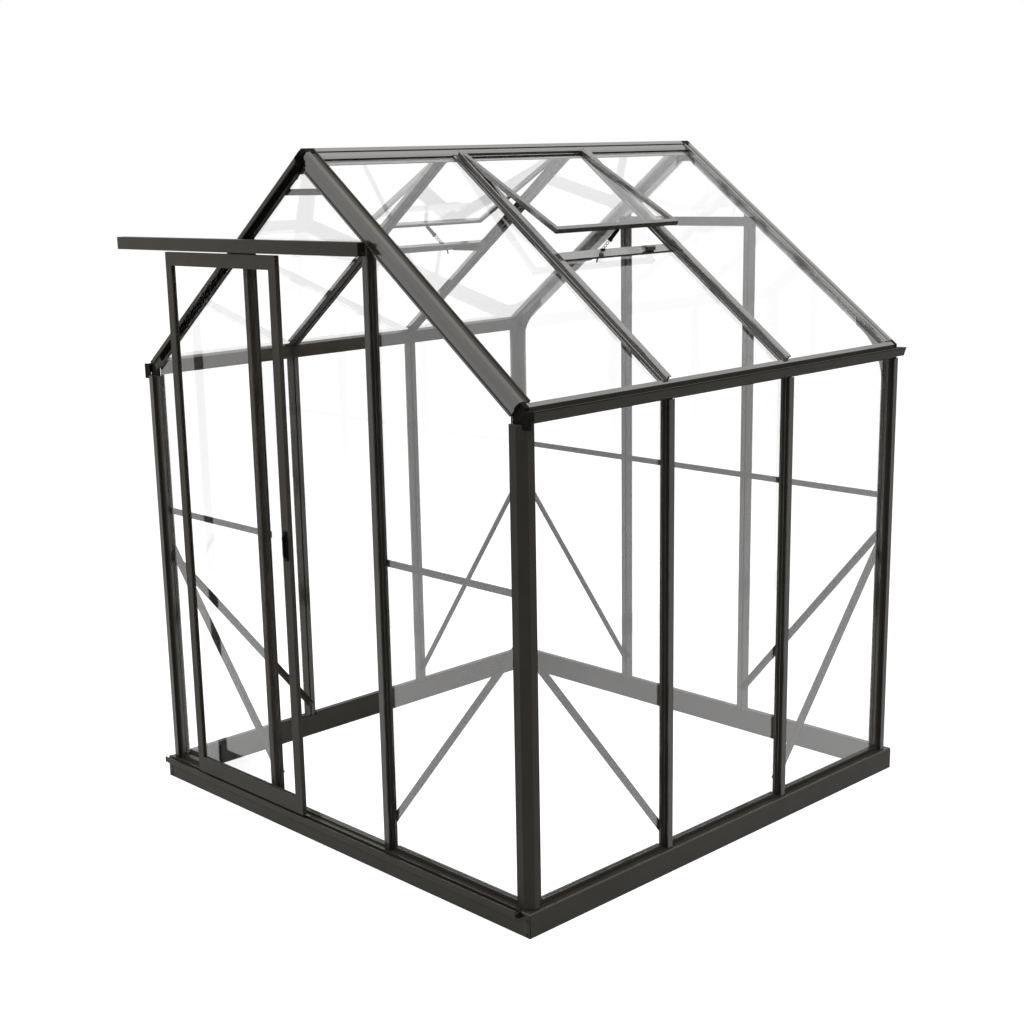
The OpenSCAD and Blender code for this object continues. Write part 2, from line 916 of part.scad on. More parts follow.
module vent_panes() {
    w = vent_bar_w;
    color(clear)
        for (side = [-1, 1])
            at_vent(side)
                translate([-vent_half - vent_over + w, -4, w])
                    cube([2 * (vent_half - w) + vent_over, pane_t, vent_l - 2 * w]);
}

// Bars below the vents, which carry the top edge of the panes further down
module vent_sills() {
    half = bay / 2 - flange_w / 2;
    color(coat)
        for (side = [-1, 1])
            at_slope(side)
                translate([-half, 0, vent_sill_t])
                    rotate([90, 0, 90])
                        linear_extrude(2 * half)
                            polygon([
                                [vent_sill_y, 0],
                                [vent_sill_y, vent_sill_w],
                                [-slot_out, vent_sill_w],
                                [-slot_out, vent_sill_w / 2 - 1],
                                [-slot_in, vent_sill_w / 2 - 1],
                                [-slot_in, vent_sill_w],
                                [-frame_t, vent_sill_w],
                                [-frame_t, 0]
                            ]);
}

// Rods that prop the vents open, leaning from the sill bar up to the vent's bottom rail
module vent_stays() {
    foot = [-stay_lean, vent_sill_y, vent_sill_t + stay_d / 2 + 1];
    reach = vent_l - vent_bar_w / 2;
    drop = -3 - vent_low;
    head = [
        0,
        -3 + reach * sin(vent_open) - drop * cos(vent_open),
        vent_t0 + reach * cos(vent_open) + drop * sin(vent_open)
    ];
    run = head - foot;
    tilt = acos(run[1] / norm(run));
    gap = stay_d / 2 * tan(tilt) + 0.3;
    color(black)
        for (side = [-1, 1])
            at_slope(side)
                mirror([side < 0 ? 1 : 0, 0, 0])
                    translate(foot)
                        rotate([0, acos(run[2] / norm(run)), atan2(run[1], run[0])])
                            translate([0, 0, gap])
                                cylinder(h = norm(run) - 2 * gap, d = stay_d);
}

// Upright of the door, with the pane slot on the side that faces into the door
module stile(w) {
    linear_extrude(door_top - door_foot)
        difference() {
            translate([0, -door_t / 2])
                square([w, door_t]);
            translate([w - slot / 2, -pane_t / 2 - pane_gap])
                square([slot, pane_t + 2 * pane_gap]);
        }
}

module door_stiles() {
    color(coat)
        translate([0, -door_mid, door_foot]) {
            translate([door_l, 0, 0])
                stile(stile_w);
            translate([door_r, 0, 0])
                mirror([1, 0, 0])
                    stile(handle_stile_w);
        }
}

module door_rails() {
    x0 = door_l + stile_w;
    x1 = door_r - handle_stile_w;
    color(coat)
        for (rail = [[door_foot, door_bottom_rail, 1], [door_top - door_top_rail, door_top_rail, 0]])
            difference() {
                translate([x0, -door_mid - door_t / 2, rail[0]])
                    cube([x1 - x0, door_t, rail[1]]);
                translate([
                    x0 - 1,
                    -door_mid - pane_t / 2 - pane_gap,
                    rail[0] + rail[2] * rail[1] - slot / 2
                ])
                    cube([x1 - x0 + 2, pane_t + 2 * pane_gap, slot]);
            }
}

module door_pane() {
    inset = slot / 2 - pane_gap;
    x0 = door_l + stile_w - inset;
    x1 = door_r - handle_stile_w + inset;
    z0 = door_foot + door_bottom_rail - inset;
    z1 = door_top - door_top_rail + inset;
    color(clear)
        translate([x0, -door_mid - pane_t / 2, z0])
            cube([x1 - x0, pane_t, z1 - z0]);
}

// Roller carriage: a plate on the top rail with two grooved rollers behind it
module door_hanger() {
    plate_t = 4;
    plate_y = -track_back - 19;
    roller_y = -track_back - track_wall - 1.5;
    color(black) {
        translate([hanger_mid - hanger_l / 2, plate_y - plate_t, door_top])
            cube([hanger_l, plate_t, roller_z + 4 - door_top]);
        for (x = [-hanger_l / 2 + 18, hanger_l / 2 - 18])
            translate([hanger_mid + x, 0, roller_z]) {
                translate([0, plate_y, 0])
                    rotate([-90, 0, 0])
                        cylinder(h = roller_y - roller_w - plate_y, d = 7);
                translate([0, roller_y, 0])
                    rotate([90, 0, 0])
                        cylinder(h = roller_w, d = roller_d);
            }
    }
}

module door_handle() {
    color(black)
        translate([door_r - handle_stile_w / 2 - 5, -door_front - 14, handle_z - handle_l / 2])
            cube([14, 14, handle_l]);
}

// Plastic shoes under the bottom rail, running in the guide rail's groove
module door_shoes() {
    groove_mid = half_l + guide_d / 2;
    drop = door_foot - guide_z - guide_h / 2 - 6;
    color(black)
        for (x = [door_l + 80, door_r - 120])
            translate([x, -groove_mid - 3, door_foot - drop])
                cube([40, 6, drop]);
}

base_frame();
glazing_sills();
door_guide_rail();
corner_posts(-1);  // corner_posts_front
corner_posts(1);  // corner_posts_back
gable_studs(FRONT);  // gable_studs_front
gable_studs(BACK);  // gable_studs_back
wall_studs(LEFT);  // wall_studs_left
wall_studs(RIGHT);  // wall_studs_right
eave_rail(-1);  // eave_rail_left
eave_rail(1);  // eave_rail_right
gutters();
gutter_ends();
eave_corner_blocks();
ridge_bar();
ridge_end_blocks();
end_rafters(1);  // end_rafters_front
end_rafters(0);  // end_rafters_back
roof_rafters();
headers();
door_track();
cross_bars();
corner_braces();
gusset_plates();
collar_tie();
gable_panes(FRONT);  // gable_panes_front
gable_panes(BACK);  // gable_panes_back
wall_panes(LEFT);  // wall_panes_left
wall_panes(RIGHT);  // wall_panes_right
roof_panes(-1);  // roof_panes_left
roof_panes(1);  // roof_panes_right
vent_frames();
vent_panes();
vent_sills();
vent_stays();
door_stiles();
door_rails();
door_pane();
door_hanger();
door_handle();
door_shoes();
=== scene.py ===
"""Finishes, fittings and stage of a walk-in greenhouse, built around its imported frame."""

import math

import bpy
from mathutils import Matrix, Vector


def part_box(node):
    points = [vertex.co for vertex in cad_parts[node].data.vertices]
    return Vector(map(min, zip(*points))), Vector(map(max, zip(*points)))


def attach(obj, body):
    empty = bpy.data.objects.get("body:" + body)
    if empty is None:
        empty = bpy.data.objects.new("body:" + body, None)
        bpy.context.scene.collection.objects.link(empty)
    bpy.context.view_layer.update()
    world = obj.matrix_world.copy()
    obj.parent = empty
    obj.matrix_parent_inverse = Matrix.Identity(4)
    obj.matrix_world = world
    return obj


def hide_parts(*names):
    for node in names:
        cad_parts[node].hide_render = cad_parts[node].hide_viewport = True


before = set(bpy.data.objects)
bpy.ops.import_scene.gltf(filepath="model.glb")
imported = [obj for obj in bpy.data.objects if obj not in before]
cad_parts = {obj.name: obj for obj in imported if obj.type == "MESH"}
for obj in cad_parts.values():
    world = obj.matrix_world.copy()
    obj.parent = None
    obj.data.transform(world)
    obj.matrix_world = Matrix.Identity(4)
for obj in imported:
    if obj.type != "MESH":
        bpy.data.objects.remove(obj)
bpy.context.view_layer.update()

bl_info = {
    "name": "Greenhouse finishes and fittings",
    "version": (1, 0, 0),
    "blender": (4, 5, 0),
    "location": "3D View > Sidebar > Greenhouse",
    "description": "Powder coat, glazing, bolts, handle, stays and stage of a walk-in greenhouse",
    "category": "Object",
}

MM = 0.001

# Slope of the roof, as the frame is built
ROOF_SLOPE = math.radians(37.5)

# How fittings are carried from one corner or side of the house to the others
HALF_TURN = Matrix.Rotation(math.pi, 4, "Z")
OTHER_CORNERS = ((-1, 1), (1, -1), (-1, -1))

DOOR_PANES = ["door_pane"]
PANES = [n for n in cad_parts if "_pane" in n and n not in DOOR_PANES]
PLASTIC = [
    "eave_corner_blocks",
    "ridge_end_blocks",
    "vent_stays",
    "door_hanger",
    "door_handle",
    "door_shoes",
]
# Coated members with a painted sheen: a clear coat on their powder coat, given group by group and
# masked to some faces, that paints them brighter as if lit. The nodes of each group, and the coat,
# in powder_coat's words. The coat's IORs are matched to the look, and lie above a real lacquer's 1.5
PAINTED_SHEEN = {
    "roof": (
        ["ridge_bar", "roof_rafters"],
        {"lap": 1.0, "lap_ior": 3.0, "axis": "Z", "above": -0.1, "side": 1},
    ),
    "back_rafter": (["end_rafters_back"], {"lap": 1.0, "lap_ior": 3.0}),
    "vent": (["vent_frames"], {"lap": 0.8, "lap_ior": 2.5, "axis": "Z", "above": -0.3}),
    "eave": (["eave_rail_left", "eave_rail_right"], {"lap": 0.8, "lap_ior": 3.0, "axis": "Z"}),
    "sill": (["vent_sills"], {"lap": 1.0, "lap_ior": 4.0, "axis": "Z"}),
    "gable": (
        ["end_rafters_front"],
        {"lap": 0.68, "lap_roughness": 0.14, "axis": "Y", "toward": -1, "side": 1},
    ),
    "foot": (["base_frame", "glazing_sills", "door_guide_rail"], {"lap": 0.3, "axis": "Z"}),
    "front_stud": (["gable_studs_front"], {"lap": 0.25, "side": 1}),
    "front_post": (["corner_posts_front"], {"lap": 0.3, "side": -1}),
    "stud": (
        ["gable_studs_back", "wall_studs_left", "wall_studs_right", "corner_posts_back"],
        {"lap": 0.22},
    ),
}
# Nodes whose powder coat carries the painted sheen
PAINTED_SHEEN_NODES = [n for nodes, _ in PAINTED_SHEEN.values() for n in nodes]
PLAIN_COAT = [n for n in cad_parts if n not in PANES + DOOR_PANES + PLASTIC + PAINTED_SHEEN_NODES]


# ---------------------------------------------------------------- materials


def linear(hex_colour):
    """An sRGB hex colour such as "3a3832" as a linear RGBA tuple."""
    channels = [int(hex_colour[i : i + 2], 16) / 255 for i in (0, 2, 4)]
    return tuple(c / 12.92 if c <= 0.04045 else ((c + 0.055) / 1.055) ** 2.4 for c in channels) + (1.0,)


def add(tree, kind, settings=None, values=None, links=None):
    """Adds a shader node, sets its properties and sockets, and links its sockets from other outputs."""
    made = tree.nodes.new("ShaderNode" + kind)
    for key, value in (settings or {}).items():
        setattr(made, key, value)
    for key, value in (values or {}).items():
        made.inputs[key].default_value = value
    for key, source in (links or {}).items():
        tree.links.new(source, made.inputs[key])
    return made


def new_material(name):
    """An empty node material and its tree, or None for the tree if the material is already made."""
    if name in bpy.data.materials:
        return bpy.data.materials[name], None
    material = bpy.data.materials.new(name)
    material.use_nodes = True
    material.node_tree.nodes.clear()
    return material, material.node_tree


def powder_coat(
    name="charcoal_powder_coat_painted_sheen", lap=0.0, lap_ior=2.2, lap_roughness=0.08,
    axis=None, toward=1, above=0.1, side=0,
):
    """Powder coat on extruded aluminium: matt charcoal with a warm cast and a fine orange peel.

    The painted sheen is a clear coat laid on the powder coat as a painted highlight, its weight the
    share given. Given an axis, it counts only on faces that look along it, toward its plus or minus
    end, by more than the share in above. Given a side, 1 for right and -1 for left, it counts only on
    that half of the house, which it paints brighter than the other."""
    look = bpy.context.scene.greenhouse_finish
    material, tree = new_material(name)
    if tree is None:
        return material
    where = add(tree, "TexCoord")
    place = where.outputs["Object"]
    # Slow clouds a hand's width across, where the coat is a shade thinner or thicker
    cloud = add(
        tree, "TexNoise", values={"Scale": 1 / (111.1 * MM), "Detail": 3.0}, links={"Vector": place}
    )
    # Orange peel, drawn at 6 mm, coarser than the real 1 mm so that it shows
    peel = add(
        tree, "TexNoise", values={"Scale": 1 / (6.25 * MM), "Detail": 2.0}, links={"Vector": place}
    )
    tone = add(
        tree, "MapRange",
        values={"From Min": 0.3, "From Max": 0.7, "To Min": 0.9, "To Max": 1.12},
        links={"Value": cloud.outputs["Fac"]},
    )
    shade = add(
        tree, "MixRGB", {"blend_type": "MULTIPLY"}, {"Fac": 1.0, "Color1": linear(look.coat_colour)},
        {"Color2": tone.outputs["Result"]},
    )
    gloss = add(
        tree, "MapRange",
        values={
            "From Min": 0.3, "From Max": 0.7,
            "To Min": look.coat_roughness - 0.05, "To Max": look.coat_roughness + 0.05,
        },
        links={"Value": peel.outputs["Fac"]},
    )
    bump = add(
        tree, "Bump", values={"Strength": 0.1, "Distance": 0.5 * MM},
        links={"Height": peel.outputs["Fac"]},
    )
    # The specular level is matched to the look, and lies below the usual 0.5; the clear coat is the painted
    # sheen
    coat = add(
        tree, "BsdfPrincipled",
        values={
            "Specular IOR Level": 0.12, "Coat Weight": lap, "Coat IOR": lap_ior,
            "Coat Roughness": lap_roughness,
        },
        links={
            "Base Color": shade.outputs["Color"],
            "Roughness": gloss.outputs["Result"],
            "Normal": bump.outputs["Normal"],
        },
    )
    # Each limit of the painted sheen: the vector that is looked at, its component, its sign and its least
    # value
    limits = []
    if axis:
        limits.append((where.outputs["Normal"], axis, toward, above))
    if side:
        limits.append((place, "X", side, 0.0))
    if limits:
        share = add(tree, "Value").outputs[0]
        share.default_value = lap
        for vector, component, sign, least in limits:
            part = add(tree, "SeparateXYZ", links={"Vector": vector}).outputs[component]
            signed = add(tree, "Math", {"operation": "MULTIPLY"}, {1: sign}, {0: part}).outputs[0]
            inside = add(tree, "Math", {"operation": "GREATER_THAN"}, {1: least}, {0: signed}).outputs[0]
            share = add(tree, "Math", {"operation": "MULTIPLY"}, links={0: share, 1: inside}).outputs[0]
        tree.links.new(share, coat.inputs["Coat Weight"])
    add(tree, "OutputMaterial", links={"Surface": coat.outputs[0]})
    return material


def lapped_coat(group):
    """The powder coat of one group of members, with its painted sheen."""
    return powder_coat(group + "_powder_coat_painted_sheen", **PAINTED_SHEEN[group][1])


def moulded_plastic():
    """Black moulded polypropylene: nearly matt, with a fine spark-eroded grain and paler rubbed spots."""
    look = bpy.context.scene.greenhouse_finish
    material, tree = new_material("black_moulded_polypropylene")
    if tree is None:
        return material
    place = add(tree, "TexCoord").outputs["Object"]
    # Mould grain, drawn at 3 mm, coarser than the real 0.3 mm so that it shows
    grain = add(tree, "TexVoronoi", values={"Scale": 1 / (3.125 * MM)}, links={"Vector": place})
    # Rubbed spots the size of a fingertip
    rub = add(
        tree, "TexNoise", values={"Scale": 1 / (22.22 * MM), "Detail": 4.0}, links={"Vector": place}
    )
    tone = add(
        tree, "MapRange",
        values={"From Min": 0.35, "From Max": 0.7, "To Min": 0.8, "To Max": 1.35},
        links={"Value": rub.outputs["Fac"]},
    )
    shade = add(
        tree, "MixRGB", {"blend_type": "MULTIPLY"}, {"Fac": 1.0, "Color1": linear(look.plastic_colour)},
        {"Color2": tone.outputs["Result"]},
    )
    bump = add(
        tree, "Bump", values={"Strength": 0.15, "Distance": 0.3 * MM},
        links={"Height": grain.outputs["Distance"]},
    )
    # The specular level is matched to the look, and lies below the usual 0.5
    body = add(
        tree, "BsdfPrincipled",
        values={"Roughness": 0.55, "Specular IOR Level": 0.04},
        links={"Base Color": shade.outputs["Color"], "Normal": bump.outputs["Normal"]},
    )
    add(tree, "OutputMaterial", links={"Surface": body.outputs[0]})
    return material


def shade_strip_rubber():
    """Black EPDM rubber of the gable strips: dead matt, so that the strip reads as a dark line of painted
    shade.
    """
    material, tree = new_material("black_shade_strip_rubber")
    if tree is None:
        return material
    place = add(tree, "TexCoord").outputs["Object"]
    # Talc bloom in patches a few centimetres long
    bloom = add(
        tree, "TexNoise", values={"Scale": 1 / (33.33 * MM), "Detail": 3.0}, links={"Vector": place}
    )
    shade = add(
        tree, "MixRGB", {"blend_type": "MIX"}, {"Color1": linear("060606"), "Color2": linear("0d0d0c")},
        {"Fac": bloom.outputs["Fac"]},
    )
    # The specular level is matched to the look, and lies below the usual 0.5
    body = add(
        tree, "BsdfPrincipled", values={"Roughness": 0.9, "Specular IOR Level": 0.01},
        links={"Base Color": shade.outputs["Color"]},
    )
    add(tree, "OutputMaterial", links={"Surface": body.outputs[0]})
    return material


def zinc_plate():
    """Zinc-plated steel of the stays' bars: pale grey metal with a soft mottled sheen."""
    look = bpy.context.scene.greenhouse_finish
    material, tree = new_material("zinc_plated_steel")
    if tree is None:
        return material
    place = add(tree, "TexCoord").outputs["Object"]
    # Spangle of the plating, about 4 mm across
    spangle = add(tree, "TexVoronoi", values={"Scale": 1 / (4.167 * MM)}, links={"Vector": place})
    gloss = add(
        tree, "MapRange",
        values={"From Min": 0.0, "From Max": 1.0, "To Min": 0.36, "To Max": 0.5},
        links={"Value": spangle.outputs["Distance"]},
    )
    mottle = add(
        tree, "MixRGB", {"blend_type": "MIX"},
        {"Color1": linear(look.zinc_colour), "Color2": linear("8d8d88")},
        {"Fac": spangle.outputs["Distance"]},
    )
    metal = add(
        tree, "BsdfPrincipled",
        values={"Metallic": 1.0},
        links={"Base Color": mottle.outputs["Color"], "Roughness": gloss.outputs["Result"]},
    )
    add(tree, "OutputMaterial", links={"Surface": metal.outputs[0]})
    return material


def clear_sheet(name, ior):
    """Extruded polycarbonate sheet: clear, with shallow waves from its die and a soft mirror."""
    material, tree = new_material(name)
    if tree is None:
        return material
    place = add(tree, "TexCoord").outputs["Object"]
    # Long shallow waves left by the extrusion die, about 120 mm apart
    wave = add(
        tree, "TexNoise", values={"Scale": 1 / (125 * MM), "Detail": 1.0}, links={"Vector": place}
    )
    bump = add(
        tree, "Bump", values={"Strength": 0.02, "Distance": 1 * MM},
        links={"Height": wave.outputs["Fac"]},
    )
    rays = add(tree, "LightPath").outputs
    sheet = add(
        tree, "BsdfPrincipled",
        values={
            "Base Color": linear("ffffff"), "Roughness": 0.0, "IOR": ior, "Transmission Weight": 1.0,
        },
        links={"Normal": bump.outputs["Normal"]},
    )
    # Shadow rays pass straight through, so that the sheet shades next to nothing
    gap = add(tree, "BsdfTransparent", values={"Color": linear("fafafa")})
    both = add(tree, "MixShader", links={0: rays["Is Shadow Ray"], 1: sheet.outputs[0], 2: gap.outputs[0]})
    add(tree, "OutputMaterial", links={"Surface": both.outputs[0]})
    return material


# ---------------------------------------------------------------- modelling


def deselect():
    """Leaves edit mode and clears the selection."""
    if bpy.context.mode != "OBJECT":
        bpy.ops.object.mode_set(mode="OBJECT")
    bpy.ops.object.select_all(action="DESELECT")


def select(*pieces):
    """Selects only the given objects; the first is active."""
    deselect()
    for piece in pieces:
        piece.select_set(True)
    bpy.context.view_layer.objects.active = pieces[0]


def pick_faces(piece, test):
    """Goes into edit mode on the piece with only the faces selected that pass the test."""
    select(piece)
    bpy.ops.object.mode_set(mode="EDIT")
    bpy.ops.mesh.select_mode(type="FACE")
    bpy.ops.mesh.select_all(action="DESELECT")
    bpy.ops.object.mode_set(mode="OBJECT")
    for face in piece.data.polygons:
        face.select = test(face)
    bpy.ops.object.mode_set(mode="EDIT")


def recess(piece, test, margin, push):
    """Insets the faces that pass the test by the margin and pushes them in."""
    pick_faces(piece, test)
    bpy.ops.mesh.inset(thickness=margin)
    bpy.ops.mesh.extrude_region_move(TRANSFORM_OT_translate={"value": push})
    bpy.ops.object.mode_set(mode="OBJECT")


def settle(piece):
    """Puts the piece's place, turn and size into its mesh."""
    select(piece)
    bpy.ops.object.transform_apply(location=True, rotation=True, scale=True)


def block(low, high, rounding=0.0):
    """A block between two corners, its edges rounded."""
    low, high = Vector(low), Vector(high)
    deselect()
    bpy.ops.mesh.primitive_cube_add(size=1, location=(low + high) / 2)
    piece = bpy.context.object
    piece.scale = high - low
    settle(piece)
    if rounding:
        bpy.ops.object.mode_set(mode="EDIT")
        bpy.ops.mesh.select_all(action="SELECT")
        bpy.ops.mesh.bevel(offset=rounding, segments=2, affect="EDGES")
        bpy.ops.object.mode_set(mode="OBJECT")
    return piece


def rod(start, end, radius, sides=16):
    """A round rod between two points."""
    start, end = Vector(start), Vector(end)
    deselect()
    bpy.ops.mesh.primitive_cylinder_add(vertices=sides, radius=radius, depth=(end - start).length)
    piece = bpy.context.object
    turn = (end - start).to_track_quat("Z", "X").to_matrix().to_4x4()
    piece.matrix_world = Matrix.Translation((start + end) / 2) @ turn
    settle(piece)
    return piece


def copy_to(piece, matrix):
    """A copy of the piece with its own mesh, placed by the matrix."""
    copy = piece.copy()
    copy.data = piece.data.copy()
    bpy.context.collection.objects.link(copy)
    copy.matrix_world = matrix @ piece.matrix_world
    settle(copy)
    return copy


def mirrored(piece, x=1, y=1):
    """A copy of the piece mirrored across the middle of the house, its faces turned outwards again."""
    copy = copy_to(piece, Matrix.Diagonal((x, y, 1, 1)))
    if x * y < 0:
        bpy.ops.object.mode_set(mode="EDIT")
        bpy.ops.mesh.select_all(action="SELECT")
        bpy.ops.mesh.normals_make_consistent(inside=False)
        bpy.ops.object.mode_set(mode="OBJECT")
    return copy


def with_half_turn(pieces):
    """The pieces and their copies on the far side of the house, half a turn round its middle."""
    return pieces + [copy_to(piece, HALF_TURN) for piece in pieces]


def remove(*pieces):
    """Deletes pieces that were only a pattern for copies."""
    select(*pieces)
    bpy.ops.object.delete()


def joined(*parts):
    """Joins the parts into the first of them."""
    select(*parts)
    bpy.ops.object.join()
    return bpy.context.object


def finish_piece(name, parts, material, body, stands_for=()):
    """Joins the parts into one named piece, smooths it and says what it rides on and stands for."""
    piece = joined(*parts) if len(parts) > 1 else parts[0]
    piece.name = name
    piece.data.name = name
    settle(piece)
    bpy.ops.object.shade_smooth_by_angle(angle=math.radians(35))
    piece.data.materials.clear()
    piece.data.materials.append(material)
    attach(piece, body)
    if stands_for:
        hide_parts(*stands_for)
    return piece


def pan_bolt():
    """A pan-head bolt with a round socket, seated at the origin and facing up."""
    sizes = bpy.context.scene.greenhouse_fittings
    deselect()
    bpy.ops.mesh.primitive_cylinder_add(
        vertices=12, radius=sizes.bolt_width / 2, depth=sizes.bolt_height,
        location=(0, 0, sizes.bolt_height / 2),
    )
    bolt = bpy.context.object
    settle(bolt)
    rounding = sizes.bolt_height * 0.45
    rim = sizes.bolt_width * 0.12
    socket_depth = sizes.bolt_height * 0.5
    pick_faces(bolt, lambda face: face.normal.z > 0.9)
    bpy.ops.mesh.bevel(offset=rounding, segments=2, affect="EDGES")
    bpy.ops.mesh.inset(thickness=rim)
    bpy.ops.mesh.extrude_region_move(TRANSFORM_OT_translate={"value": (0, 0, -socket_depth)})
    bpy.ops.object.mode_set(mode="OBJECT")
    return bolt


def bolts_at(places):
    """Bolts at the given (point, direction) places, as a list of objects."""
    pattern = pan_bolt()
    made = []
    for point, direction in places:
        turn = Vector(direction).to_track_quat("Z", "X").to_matrix().to_4x4()
        made.append(copy_to(pattern, Matrix.Translation(point) @ turn))
    remove(pattern)
    return made


def four_ways(point, direction):
    """One bolt's place mirrored to all four quarters of the house."""
    (x, y, z), (u, v, w) = point, direction
    return [((a * x, b * y, z), (a * u, b * v, w)) for a in (-1, 1) for b in (-1, 1)]


# ---------------------------------------------------------------- properties


class GreenhouseFinish(bpy.types.PropertyGroup):
    """Colours and gloss of the greenhouse's surfaces."""

    coat_colour: bpy.props.StringProperty(
        name="Coat colour", description="sRGB hex colour of the frame's powder coat", default="35322d"
    )
    coat_roughness: bpy.props.FloatProperty(
        name="Coat roughness", description="Roughness of the frame's powder coat",
        default=0.45, min=0.1, max=0.9, subtype="FACTOR",
    )
    plastic_colour: bpy.props.StringProperty(
        name="Plastic colour", description="sRGB hex colour of the black moulded parts", default="12110f"
    )
    zinc_colour: bpy.props.StringProperty(
        name="Zinc colour", description="sRGB hex colour of the stays' bars", default="b4b3ae"
    )
    sheet_ior: bpy.props.FloatProperty(
        name="Sheet IOR", description="Index of refraction of the polycarbonate sheets",
        default=1.585, min=1.0, max=2.0,
    )
    door_sheet_ior: bpy.props.FloatProperty(
        name="Door sheet IOR",
        description="Index of refraction of the door's sheet, far below the real one, as it hardly mirrors",
        default=1.04, min=1.0, max=2.0,
    )


class GreenhouseFittings(bpy.types.PropertyGroup):
    """Sizes of the small fittings."""

    bolt_width: bpy.props.FloatProperty(
        name="Bolt width", description="Width of a pan-head bolt",
        default=11 * MM, min=6 * MM, max=16 * MM, subtype="DISTANCE", unit="LENGTH",
    )
    bolt_height: bpy.props.FloatProperty(
        name="Bolt height", description="Height of a bolt's head",
        default=3.5 * MM, min=2 * MM, max=6 * MM, subtype="DISTANCE", unit="LENGTH",
    )
    grip_depth: bpy.props.FloatProperty(
        name="Grip depth", description="Distance from the door's face to the outside of its handle",
        default=14 * MM, min=10 * MM, max=14 * MM, subtype="DISTANCE", unit="LENGTH",
    )
    sleeve_width: bpy.props.FloatProperty(
        name="Stay sleeve width", description="Width of the sleeve of a vent's stay",
        default=13 * MM, min=9 * MM, max=16 * MM, subtype="DISTANCE", unit="LENGTH",
    )
    corner_plate_width: bpy.props.FloatProperty(
        name="Corner plate width", description="Width of the plates at the base frame's corners",
        default=25 * MM, min=18 * MM, max=40 * MM, subtype="DISTANCE", unit="LENGTH",
    )


class GreenhouseStage(bpy.types.PropertyGroup):
    """Light of the studio around the greenhouse."""

    overhead_power: bpy.props.FloatProperty(
        name="Overhead power", description="Power of the soft lamp above the roof",
        default=165.0, min=0.0, unit="POWER",
    )
    front_power: bpy.props.FloatProperty(
        name="Front power", description="Power of the soft lamp in front of the door gable",
        default=90.0, min=0.0, unit="POWER",
    )
    air_level: bpy.props.FloatProperty(
        name="Air level", description="Brightness of the studio air that lights the greenhouse",
        default=0.5, min=0.0, max=2.0,
    )


# ---------------------------------------------------------------- operators


class GREENHOUSE_OT_finish_frame(bpy.types.Operator):
    """Gives every part of the frame its finish"""

    bl_idname = "greenhouse.finish_frame"
    bl_label = "Finish the frame"

    def execute(self, context):
        look = context.scene.greenhouse_finish
        finishes = [
            (PLAIN_COAT, powder_coat()),
            (PLASTIC, moulded_plastic()),
            (PANES, clear_sheet("clear_polycarbonate", look.sheet_ior)),
            (DOOR_PANES, clear_sheet("door_clear_polycarbonate", look.door_sheet_ior)),
        ]
        # Powder coats with a painted sheen, group by group
        for group, (nodes, _) in PAINTED_SHEEN.items():
            finishes.append((nodes, lapped_coat(group)))
        for nodes, material in finishes:
            for node in nodes:
                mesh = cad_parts[node].data
                mesh.materials.clear()
                mesh.materials.append(material)
        return {"FINISHED"}


class GREENHOUSE_OT_add_door_handle(bpy.types.Operator):
    """Adds the moulded grip on the door's stile"""

    bl_idname = "greenhouse.add_door_handle"
    bl_label = "Door handle"

    def execute(self, context):
        depth = context.scene.greenhouse_fittings.grip_depth
        plate_margin = 3 * MM
        plate_depth = 4 * MM
        grip_margin = 2 * MM
        end_margin = 6 * MM
        hollow_margin = 3 * MM
        hollow_depth = 3 * MM
        low, high = (Vector(v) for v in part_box("door_handle"))
        face = high.y
        plate = block(
            (low.x - plate_margin, face - plate_depth, low.z),
            (high.x + plate_margin, face, high.z), 1.2 * MM,
        )
        grip = block(
            (low.x + grip_margin, face - depth, low.z + end_margin),
            (high.x - grip_margin, face - 3 * MM, high.z - end_margin),
        )
        # The grip leans in at both ends and has a hollow for the fingers in its side
        pick_faces(grip, lambda f: f.normal.y < -0.9)
        bpy.ops.transform.resize(value=(0.8, 1, 0.72))
        bpy.ops.object.mode_set(mode="OBJECT")
        recess(grip, lambda f: f.normal.x > 0.5, hollow_margin, (-hollow_depth, 0, 0))
        bpy.ops.object.mode_set(mode="EDIT")
        bpy.ops.mesh.select_all(action="SELECT")
        bpy.ops.mesh.bevel(offset=1 * MM, segments=2, affect="EDGES")
        bpy.ops.object.mode_set(mode="OBJECT")
        finish_piece(
            "door_grip", [plate, grip], moulded_plastic(), "door", ["door_handle"]
        )
        return {"FINISHED"}


